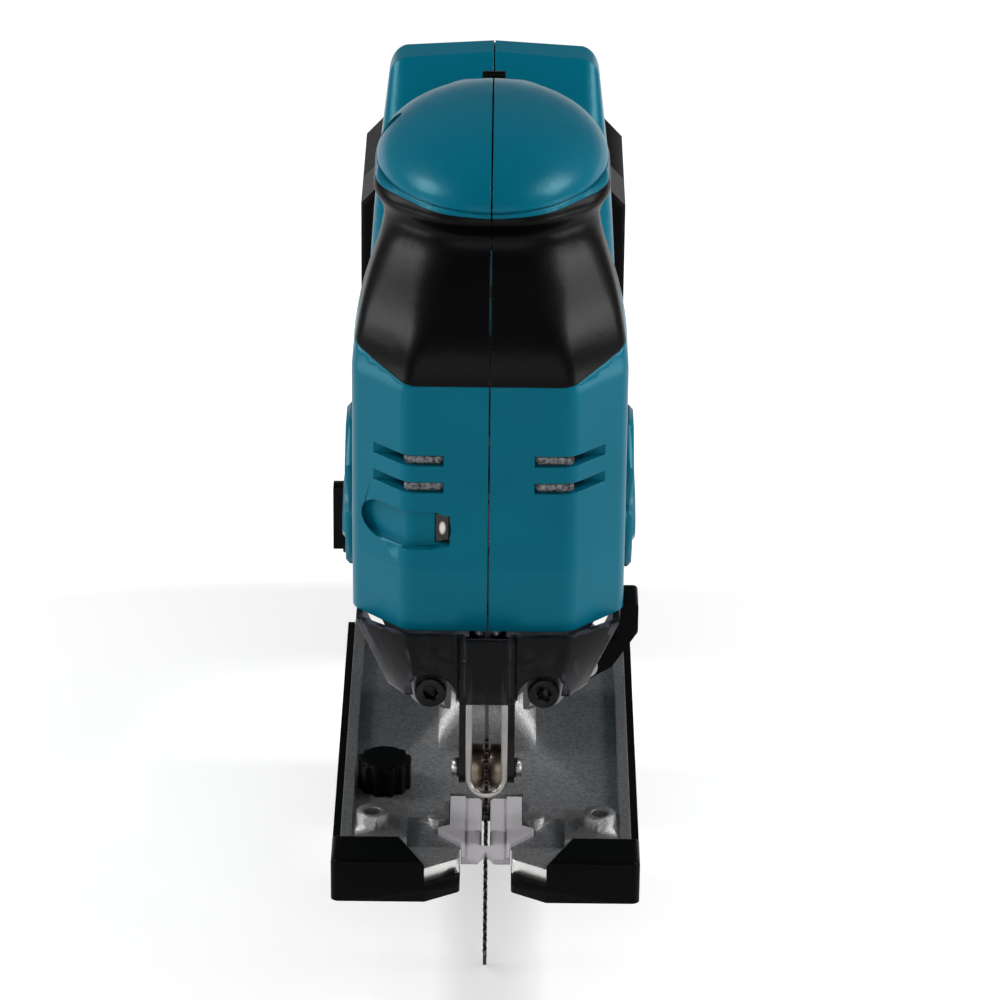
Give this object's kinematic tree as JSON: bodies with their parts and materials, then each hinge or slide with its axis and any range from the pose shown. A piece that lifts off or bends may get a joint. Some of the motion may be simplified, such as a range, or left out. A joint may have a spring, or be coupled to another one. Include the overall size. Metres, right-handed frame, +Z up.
{
  "type": "cordless jigsaw",
  "caption": "D-handle cordless jigsaw with a tilting base, plunger drive, grooved blade roller, dust cover, blade release lever and slide-on battery pack.",
  "frame": {"origin": "on the sole, at the middle of the base's length and width", "axes": "+X to the tool's left, +Y from the nose to the battery, +Z up"},
  "size_m": [0.0778, 0.25, 0.2179],
  "materials": {
    "teal_plastic": "moulded nylon, fine texture",
    "grip_rubber": "soft overmould",
    "black_steel": "black oxide",
    "zinc_steel": "zinc plated",
    "hard_steel": "ground",
    "cast_aluminium": "die cast",
    "base_aluminium": "die cast, satin",
    "laminations": "stacked sheet",
    "copper": "enamelled wire",
    "bronze": "sintered",
    "black_plastic": "moulded",
    "red_plastic": "moulded",
    "clamp_steel": "phosphated",
    "blade_steel": "blued",
    "smoked_plastic": "clear, smoked",
    "insert_plastic": "natural, translucent",
    "felt": "pressed felt",
    "lens": "clear",
    "circuit_board": "coated board",
    "cell_wrap": "shrink wrap on can"
  },
  "bodies": {
    "body": {"housing_left": "teal_plastic", "housing_right": "teal_plastic", "grip_left": "grip_rubber", "grip_right": "grip_rubber", "housing_screws": "black_steel", "gear_housing": "cast_aluminium", "motor_stator": "laminations", "motor_coils": "copper", "motor_bearings": "hard_steel", "gear_spindle": "hard_steel", "plunger_bush": "bronze", "bracket_pin": "zinc_steel", "guard_wire": "zinc_steel", "nose_screws": "black_steel", "lever_pin": "zinc_steel", "vent_felts": "felt", "lamp_lens": "lens", "lamp_board": "circuit_board", "switch": "black_plastic", "controller_board": "circuit_board", "battery_terminals": "black_plastic", "bevel_clamp_plate": "zinc_steel", "bevel_bolt": "zinc_steel"},
    "rotor": {"motor_shaft": "hard_steel", "rotor_core": "laminations", "motor_fan": "black_plastic", "pinion": "hard_steel"},
    "crank": {"drive_gear": "hard_steel", "crank_pin": "hard_steel"},
    "plunger": {"plunger": "hard_steel", "blade_clamp": "clamp_steel", "blade": "blade_steel"},
    "bracket": {"roller_bracket": "black_steel", "roller_pin": "zinc_steel"},
    "roller": {"blade_roller": "hard_steel"},
    "dust_cover": {"dust_cover": "smoked_plastic"},
    "lever": {"blade_release_lever": "black_plastic"},
    "base": {"base_plate": "base_aluminium", "sole_cover": "black_plastic", "anti_splinter_insert": "insert_plastic"},
    "guide_knob": {"guide_knob": "black_plastic"},
    "selector": {"orbit_selector": "black_plastic"},
    "trigger": {"trigger": "black_plastic"},
    "lock_button": {"lock_off_button": "black_plastic"},
    "dial": {"speed_dial": "black_plastic"},
    "battery": {"battery_case_front": "black_plastic", "battery_case_rear": "black_plastic", "battery_cells": "cell_wrap"},
    "battery_button": {"battery_button": "red_plastic"}
  },
  "joints": [
    {"name": "motor_spin", "type": "hinge", "parent": "body", "child": "rotor", "pos_m": [0, 0.01, 0.0875], "axis": [0, 1, 0], "range_deg": [-360, 360]},
    {"name": "crank_turn", "type": "hinge", "parent": "body", "child": "crank", "pos_m": [0, -0.036, 0.11], "axis": [0, 1, 0], "range_deg": [-90, 90]},
    {"name": "plunger_stroke", "type": "slide", "parent": "body", "child": "plunger", "axis": [0, 0, 1], "range_m": [-0.0115, 0.0115]},
    {"name": "bracket_rock", "type": "hinge", "parent": "body", "child": "bracket", "pos_m": [0, -0.032, 0.06], "axis": [1, 0, 0], "range_deg": [0, 3]},
    {"name": "roller_spin", "type": "hinge", "parent": "bracket", "child": "roller", "pos_m": [0, -0.0398, 0.022], "axis": [1, 0, 0], "continuous": true},
    {"name": "dust_cover_slide", "type": "slide", "parent": "body", "child": "dust_cover", "axis": [0, 0, -1], "range_m": [0, 0.014]},
    {"name": "lever_swing", "type": "hinge", "parent": "body", "child": "lever", "pos_m": [0.0245, -0.037, 0.0525], "axis": [0, 1, 0], "range_deg": [0, 50], "stiffness_Nm_per_rad": 0.05},
    {"name": "base_bevel", "type": "hinge", "parent": "body", "child": "base", "pos_m": [0, 0.019, 0.0062], "axis": [0, 1, 0], "range_deg": [-45, 45]},
    {"name": "guide_knob_turn", "type": "hinge", "parent": "base", "child": "guide_knob", "pos_m": [-0.0264, -0.02, 0.006], "axis": [0, 0, 1], "continuous": true},
    {"name": "selector_turn", "type": "hinge", "parent": "body", "child": "selector", "pos_m": [-0.0342, -0.014, 0.08], "axis": [1, 0, 0], "range_deg": [0, 90]},
    {"name": "trigger_press", "type": "slide", "parent": "body", "child": "trigger", "axis": [0, 0, 1], "range_m": [0, 0.005], "stiffness_N_per_m": 800},
    {"name": "lock_press", "type": "slide", "parent": "body", "child": "lock_button", "axis": [-1, 0, 0], "range_m": [0, 0.003], "stiffness_N_per_m": 500},
    {"name": "dial_turn", "type": "hinge", "parent": "body", "child": "dial", "pos_m": [0, 0.068, 0.16], "axis": [1, 0, 0], "range_deg": [0, 270]},
    {"name": "battery_slide", "type": "slide", "parent": "body", "child": "battery", "axis": [0, 0, -1], "range_m": [0, 0.075]},
    {"name": "battery_button_press", "type": "slide", "parent": "battery", "child": "battery_button", "axis": [0, 1, 0], "range_m": [0, 0.0025], "stiffness_N_per_m": 800}
  ],
  "couplings": [
    {"joint": "motor_spin", "follows": "plunger_stroke", "rad_per_m": 546.36},
    {"joint": "crank_turn", "follows": "plunger_stroke", "rad_per_m": -136.59}
  ]
}
